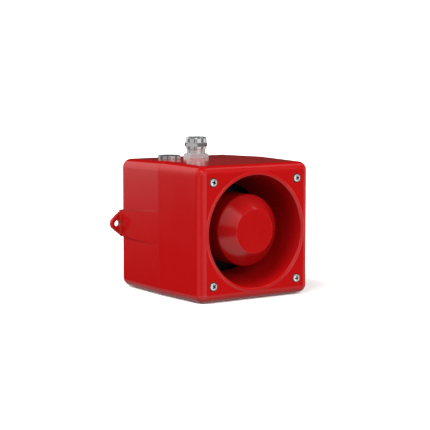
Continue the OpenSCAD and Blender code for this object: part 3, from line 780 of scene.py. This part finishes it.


class Nodes:
    """Small helper round one node tree."""

    def __init__(self, tree):
        self.tree = tree

    def add(self, kind, **values):
        node = self.tree.nodes.new(kind)
        for key, value in values.items():
            if key in node.inputs:
                self.put(node.inputs[key], value)
            else:
                setattr(node, key, value)
        return node

    def put(self, socket, value):
        if hasattr(value, "is_output"):
            self.tree.links.new(value, socket)
        else:
            socket.default_value = value

    def math(self, operation, *values, clamp=False):
        node = self.add("ShaderNodeMath", operation=operation, use_clamp=clamp)
        for socket, value in zip(node.inputs, values):
            self.put(socket, value)
        return node.outputs[0]

    def spread(self, value, from_low, from_high, to_low, to_high):
        node = self.add("ShaderNodeMapRange", clamp=True)
        for socket, entry in zip(node.inputs, (value, from_low, from_high, to_low, to_high)):
            self.put(socket, entry)
        return node.outputs[0]

    def mix(self, share, a, b):
        node = self.add("ShaderNodeMix", data_type="RGBA")
        self.put(node.inputs["Factor"], share)
        self.put(node.inputs["A"], a)
        self.put(node.inputs["B"], b)
        return node.outputs["Result"]

    def dimmed(self, colour, share):
        node = self.add("ShaderNodeVectorMath", operation="SCALE", Scale=share)
        self.put(node.inputs[0], colour)
        return node.outputs["Vector"]

    def noise(self, place, scale, detail):
        node = self.add("ShaderNodeTexNoise", Vector=place, Scale=scale, Detail=detail, Roughness=0.5)
        return node.outputs["Fac"]


def shade(colour, share):
    return tuple(min(c * share, 1) for c in colour[:3]) + (1,)


def worn_edges(nodes, radius):
    """1 where the surface turns sharply within a radius in metres, 0 on plain surface."""
    plain = nodes.add("ShaderNodeNewGeometry").outputs["Normal"]
    soft = nodes.add("ShaderNodeBevel", samples=4, Radius=radius).outputs["Normal"]
    dot = nodes.add("ShaderNodeVectorMath", operation="DOT_PRODUCT")
    nodes.put(dot.inputs[0], plain)
    nodes.put(dot.inputs[1], soft)
    return nodes.spread(dot.outputs["Value"], 0.995, 0.93, 0.0, 1.0)


def in_mouth(nodes, place):
    """Painted shade: 0 outside the horn's mouth and behind the horn, rising to 1 at a depth inside it."""
    at = nodes.add("ShaderNodeSeparateXYZ", Vector=place).outputs
    radius = nodes.math("SQRT", nodes.math("ADD", nodes.math("MULTIPLY", at["X"], at["X"]),
                                           nodes.math("MULTIPLY", at["Z"], at["Z"])))
    inside = nodes.spread(radius, (bead_at + 1) * MM, (bead_at - 1) * MM, 0, 1)
    below = nodes.spread(at["Y"], -(tip_s - 0.5) * MM, -(tip_s - 14) * MM, 0, 1)
    ahead = nodes.spread(at["Y"], -(horn_end_s - 4) * MM, -(horn_end_s - 2) * MM, 0, 1)
    return nodes.math("MULTIPLY", nodes.math("MULTIPLY", inside, below), ahead)


def crevices(nodes, reach, darkest):
    """Share of the colour left in hollows narrower than a reach in metres, as painted shade."""
    node = nodes.add("ShaderNodeAmbientOcclusion", samples=8, only_local=True, Distance=reach)
    return nodes.spread(node.outputs["AO"], 0.45, 0.85, darkest, 1)


def pad_steps(nodes, place):
    """Share of the colour left in the painted shade lines along the side pads' edges."""
    at = nodes.add("ShaderNodeSeparateXYZ", Vector=place).outputs
    station = nodes.math("MULTIPLY", at["Y"], -1 / MM)
    height = nodes.math("MULTIPLY", at["Z"], 1 / MM)
    outside = nodes.spread(nodes.math("ABSOLUTE", at["X"]), (half_back - 4) * MM, (half_back - 2) * MM, 0, 1)
    left = 1
    for back, joint, upper in ((pad_back[0], pad_joint[0], False), (pad_back[1], pad_joint[1], True)):
        line = nodes.math("MULTIPLY_ADD", station, (joint - back) / joint_s, back)
        off = nodes.math("ABSOLUTE", nodes.math("SUBTRACT", height, line))
        band = nodes.math("MULTIPLY", nodes.spread(off, STEP_LINE[1], STEP_LINE[0], 0, 1), outside)
        fade_s = joint_s * (0.95 if upper else 1)
        band = nodes.math("MULTIPLY", band, nodes.spread(station, fade_s, fade_s * 0.35, 0, 1))
        left = nodes.math("SUBTRACT", left, nodes.math("MULTIPLY", band, STEP_SHADE))
    return left


def finish(name, colour, roughness, metallic=0.0, *, grain, bump, mottle, wear=1.25, specular=0.5,
           stretch=(1, 1, 1), deep=1.0, hollow=1.0, steps=False):
    """Material with mottled colour, uneven roughness, fine bump and lighter worn edges.

    grain is the scale of the fine noise, stretch draws that noise out along the axes, and wear is the
    brightness of worn edges against the colour.
    deep is the share of the colour left inside the mouth of the horn, as painted shade there, and
    hollow the share left in narrow hollows, as painted shade. steps paints shade lines at the side pads.
    """
    material = bpy.data.materials.new(name)
    material.use_nodes = True
    nodes = Nodes(material.node_tree)
    main = material.node_tree.nodes["Principled BSDF"]
    place = nodes.add("ShaderNodeTexCoord").outputs["Object"]
    fitted = nodes.add("ShaderNodeMapping", Vector=place, Scale=stretch).outputs["Vector"]
    broad = nodes.noise(place, 35.0, 3.0)
    fine = nodes.noise(fitted, grain, 2.0)
    base = nodes.mix(broad, shade(colour, 1 - mottle), shade(colour, 1 + mottle))
    speck = nodes.mix(nodes.spread(fine, 0.3, 0.7, 0, 1),
                      shade(colour, 1 - mottle / 2), shade(colour, 1 + mottle / 2))
    base = nodes.mix(0.4, base, speck)
    base = nodes.mix(worn_edges(nodes, WEAR_RADIUS), base, shade(colour, wear))
    # painted shade: the colour darkens inside the horn's mouth
    if deep != 1:
        base = nodes.dimmed(base, nodes.spread(in_mouth(nodes, place), 0, 1, 1, deep))
    # painted shade: narrow hollows, such as a screw head's cross recess, are darkened
    if hollow != 1:
        base = nodes.dimmed(base, crevices(nodes, HOLLOW_REACH, hollow))
    # painted shade: dark lines along the side pads' steps
    if steps:
        base = nodes.dimmed(base, pad_steps(nodes, place))
    nodes.put(main.inputs["Base Color"], base)
    nodes.put(main.inputs["Metallic"], metallic)
    nodes.put(main.inputs["Roughness"], nodes.spread(broad, 0.3, 0.7, roughness * 0.85, roughness * 1.15))
    nodes.put(main.inputs["IOR"], 1.5)
    nodes.put(main.inputs["Specular IOR Level"], specular)
    relief = nodes.add("ShaderNodeBump", Strength=bump, Distance=RELIEF, Height=fine)
    nodes.put(main.inputs["Normal"], relief.outputs["Normal"])
    return material


RED = (0.37, 0.0034, 0.0038, 1)
MATERIALS = {
    # deep paints shade inside the horn's mouth, and steps paints shade lines along the side pads' steps
    "red_casting": finish("red_casting", RED, 0.14, grain=700, bump=0.07, mottle=0.04, wear=1.06, deep=0.63,
                          steps=True),
    # the bullet's red is the casting's red darkened as painted shade, and deep adds painted shade inside the
    # horn
    "red_bullet": finish("red_bullet", shade(RED, 0.92), 0.165, grain=700, bump=0.07, mottle=0.04, wear=1.04,
                         deep=0.78),
    "seal_rubber": finish("seal_rubber", (0.012, 0.012, 0.013, 1), 0.65, grain=2500, bump=0.2, mottle=0.15),
    # hollow paints shade into the screw heads' cross recesses and round their rims
    "stainless": finish("stainless", (0.8, 0.79, 0.77, 1), 0.2, 0.75, grain=2200, bump=0.03, mottle=0.04,
                        hollow=0.03),
    "zinc_steel": finish("zinc_steel", (0.62, 0.64, 0.66, 1), 0.3, 1, grain=1500, bump=0.08, mottle=0.12),
    "black_moulding": finish("black_moulding", (0.008, 0.008, 0.009, 1), 0.5, grain=2200, bump=0.12,
                             mottle=0.2, specular=0.15),
    "ferrite": finish("ferrite", (0.03, 0.03, 0.033, 1), 0.55, grain=3000, bump=0.35, mottle=0.25),
    "treated_film": finish("treated_film", (0.35, 0.2, 0.07, 1), 0.4, grain=3500, bump=0.3, mottle=0.12),
    "diaphragm_metal": finish("diaphragm_metal", (0.75, 0.76, 0.78, 1), 0.3, 1, grain=3000, bump=0.06,
                              mottle=0.05),
    "copper_wire": finish("copper_wire", (0.62, 0.24, 0.09, 1), 0.3, 1, grain=1200, bump=0.3, mottle=0.15,
                          stretch=(0.2, 6, 0.2)),
    "red_wire": finish("red_wire", (0.4, 0.01, 0.01, 1), 0.4, grain=2500, bump=0.08, mottle=0.08),
    "white_moulding": finish("white_moulding", (0.72, 0.70, 0.64, 1), 0.4, grain=2500, bump=0.06,
                             mottle=0.05),
    "board_laminate": finish("board_laminate", (0.012, 0.10, 0.03, 1), 0.35, grain=2600, bump=0.12,
                             mottle=0.12),
    "terminal_green": finish("terminal_green", (0.02, 0.22, 0.07, 1), 0.42, grain=2500, bump=0.08,
                             mottle=0.06),
    "switch_red": finish("switch_red", (0.4, 0.02, 0.015, 1), 0.4, grain=2500, bump=0.08, mottle=0.06),
    "trimmer_blue": finish("trimmer_blue", (0.02, 0.08, 0.35, 1), 0.4, grain=2500, bump=0.08, mottle=0.06),
    "can_sleeve": finish("can_sleeve", (0.012, 0.015, 0.05, 1), 0.3, grain=2000, bump=0.05, mottle=0.08),
    "core_steel": finish("core_steel", (0.22, 0.22, 0.23, 1), 0.45, 1, grain=900, bump=0.5, mottle=0.15,
                         stretch=(0.1, 8, 0.1)),
    "black_epoxy": finish("black_epoxy", (0.014, 0.014, 0.016, 1), 0.5, grain=3500, bump=0.25, mottle=0.15),
    "earth_brass": finish("earth_brass", (0.62, 0.42, 0.14, 1), 0.28, 1, grain=1800, bump=0.06, mottle=0.1),
    "nickel": finish("nickel", (0.84, 0.86, 0.86, 1), 0.13, 0.9, grain=1500, bump=0.02, mottle=0.04,
                     wear=1.04),
    "satin_nickel": finish("satin_nickel", (0.69, 0.68, 0.68, 1), 0.3, 0.85, grain=1500, bump=0.03,
                           mottle=0.05, wear=1.04),
    # the plug's nickel, darkened from the nut's as painted shade
    "shaded_nickel": finish("shaded_nickel", (0.54, 0.55, 0.55, 1), 0.16, 0.9, grain=1500, bump=0.02, mottle=0.05,
                          wear=1.04),
}


def dress_cad_nodes():
    """Gives each CAD node that stays in view its slot's material."""
    for row in frame["record"]["subparts"]:
        node = frame["nodes"][row["node"]]
        material = MATERIALS[row["material_slot"]]
        if node.data.materials:
            for i in range(len(node.data.materials)):
                node.data.materials[i] = material
        else:
            node.data.materials.append(material)


# ---------------------------------------------------------------- studio

def direction_share(nodes, way, azimuth, elevation, half_width, half_height, soft, soft_height):
    """1 where a ray points into a soft-edged window of the surroundings, given in degrees."""
    x, y, z = way
    turn = nodes.math("ARCTAN2", y, x)
    off = nodes.math("SUBTRACT", turn, rad(azimuth))
    wrapped = nodes.math("ARCTAN2", nodes.math("SINE", off), nodes.math("COSINE", off))
    across = nodes.spread(nodes.math("ABSOLUTE", wrapped), rad(half_width + soft), rad(half_width), 0, 1)
    rise = nodes.math("ARCSINE", z)
    up = nodes.math("ABSOLUTE", nodes.math("SUBTRACT", rise, rad(elevation)))
    along = nodes.spread(up, rad(half_height + soft_height), rad(half_height), 0, 1)
    return nodes.math("MULTIPLY", across, along)


# Fields of the surroundings: azimuth, elevation, half width, half height and the softness across and up,
# all in degrees, then the strength
MIRRORED = {
    "back_left_panel": (107, 18.5, 14.5, 21.5, 1.5, 5, 0.5),
    "back_left_top": (114, 24, 22, 26, 4, 4, 0.6),
    "left_panel": (189, -5, 24, 18, 2, 8, 0.45),
    "front_panel": (272, -5, 21, 18, 3, 8, 0.76),
    "front_left_panel": (234, -5, 6, 18, 3, 8, 0.4),
    "right_panel": (347, -5, 20, 18, 3, 8, 0.8),
    "behind": (35, 8, 40, 8, 10, 6, 0.03),
    "top_right_lamp": (350, 51, 8, 6, 5, 4, 1.3),
    "top_left_lamp": (243, 44, 4, 4, 3, 3, 2.5),
    "top_middle_lamp": (300, 44, 5, 4, 3, 3, 2.5),
    "top_front_lamp": (233, 35, 13, 20, 6, 8, 0.8),
    "floor": (0, -90, 180, 66, 1, 10, 0.45),
    "front_floor": (240, -90, 60, 66, 20, 8, 0.55),
}
LIGHTING = {
    "left": (150, 28, 26, 15, 4, 4, 7.1),
    "upper_left": (202, 51, 22, 15, 4, 4, 7.3),
    "front": (262, 11, 21, 28, 4, 4, 5.5),
    "right": (305, 35, 35, 22, 4, 4, 3.1),
}
DIM = 0.01                   # mirrored brightness between the fields
SHADE = 0.06                 # lighting between the fields
SEEN = 1.3                   # brightness behind the object
FLOOR_SIZE = 12              # metres
FLOOR_LIT = 0.31             # colour that lights the object's underside
FLOOR_SEEN = 1.25            # colour in the picture


def lit(nodes, way, fields, base):
    """Brightness of the surroundings in a direction, from a base and soft-edged fields."""
    glow = base
    for *shape, strength in fields.values():
        share = direction_share(nodes, way, *shape)
        glow = nodes.math("ADD", nodes.math("MULTIPLY", share, strength), glow)
    return glow


def either(nodes, share, a, b):
    """The number a where the share is 0, b where it is 1."""
    node = nodes.add("ShaderNodeMix", data_type="FLOAT")
    nodes.put(node.inputs["Factor"], share)
    nodes.put(node.inputs["A"], a)
    nodes.put(node.inputs["B"], b)
    return node.outputs["Result"]


def surroundings():
    """World that is white to the camera and has one set of fields for lighting and one for mirroring."""
    world = bpy.data.worlds.new("studio")
    bpy.context.scene.world = world
    world.use_nodes = True
    tree = world.node_tree
    tree.nodes.clear()
    nodes = Nodes(tree)
    ray = nodes.add("ShaderNodeLightPath")
    towards = nodes.add("ShaderNodeTexCoord").outputs["Generated"]
    parts = nodes.add("ShaderNodeSeparateXYZ", Vector=towards).outputs
    way = (parts["X"], parts["Y"], parts["Z"])
    lighting = lit(nodes, way, LIGHTING, SHADE)
    mirrored = lit(nodes, way, MIRRORED, DIM)
    glow = either(nodes, ray.outputs["Is Glossy Ray"], lighting, mirrored)
    glow = either(nodes, ray.outputs["Is Camera Ray"], glow, SEEN)
    back = nodes.add("ShaderNodeBackground", Strength=glow)
    nodes.add("ShaderNodeOutputWorld", Surface=back.outputs["Background"])


def floor():
    """Pale floor that glossy paint doesn't mirror."""
    low = cad_box[0]
    mesh = bpy.data.meshes.new("floor")
    mesh.from_pydata([(x, y, low.z) for x, y in rectangle(0, 0, FLOOR_SIZE, FLOOR_SIZE)], [], [(0, 1, 2, 3)])
    item = bpy.data.objects.new("floor", mesh)
    bpy.context.scene.collection.objects.link(item)
    material = bpy.data.materials.new("floor")
    material.use_nodes = True
    nodes = Nodes(material.node_tree)
    main = material.node_tree.nodes["Principled BSDF"]
    seen = nodes.add("ShaderNodeLightPath").outputs["Is Camera Ray"]
    colours = [(value, value, value, 1) for value in (FLOOR_LIT, FLOOR_SEEN)]
    nodes.put(main.inputs["Base Color"], nodes.mix(seen, *colours))
    main.inputs["Roughness"].default_value = 1
    main.inputs["Specular IOR Level"].default_value = 0
    mesh.materials.append(material)
    item.visible_glossy = False


def camera():
    """Camera at the viewing angle: left of the object, a little above its middle."""
    lens = bpy.data.cameras.new("camera")
    lens.sensor_width = 36
    lens.lens = 122.17
    lens.shift_x = -0.001
    lens.shift_y = 0.00035
    item = bpy.data.objects.new("camera", lens)
    bpy.context.scene.collection.objects.link(item)
    item.location = (-0.8264, -1.2731, 0.1659)
    item.rotation_euler = Vector((0.56528, 0.81797, -0.10674)).to_track_quat("-Z", "Y").to_euler()
    bpy.context.scene.camera = item


def studio():
    surroundings()
    floor()
    camera()
    bpy.context.scene.view_settings.view_transform = "Standard"


dress_cad_nodes()
front_casting()
rear_casting()
bullet()
front_screws()
screw_seal_rings()
gland_body()
gland_nut()
blanking_plug()
studio()
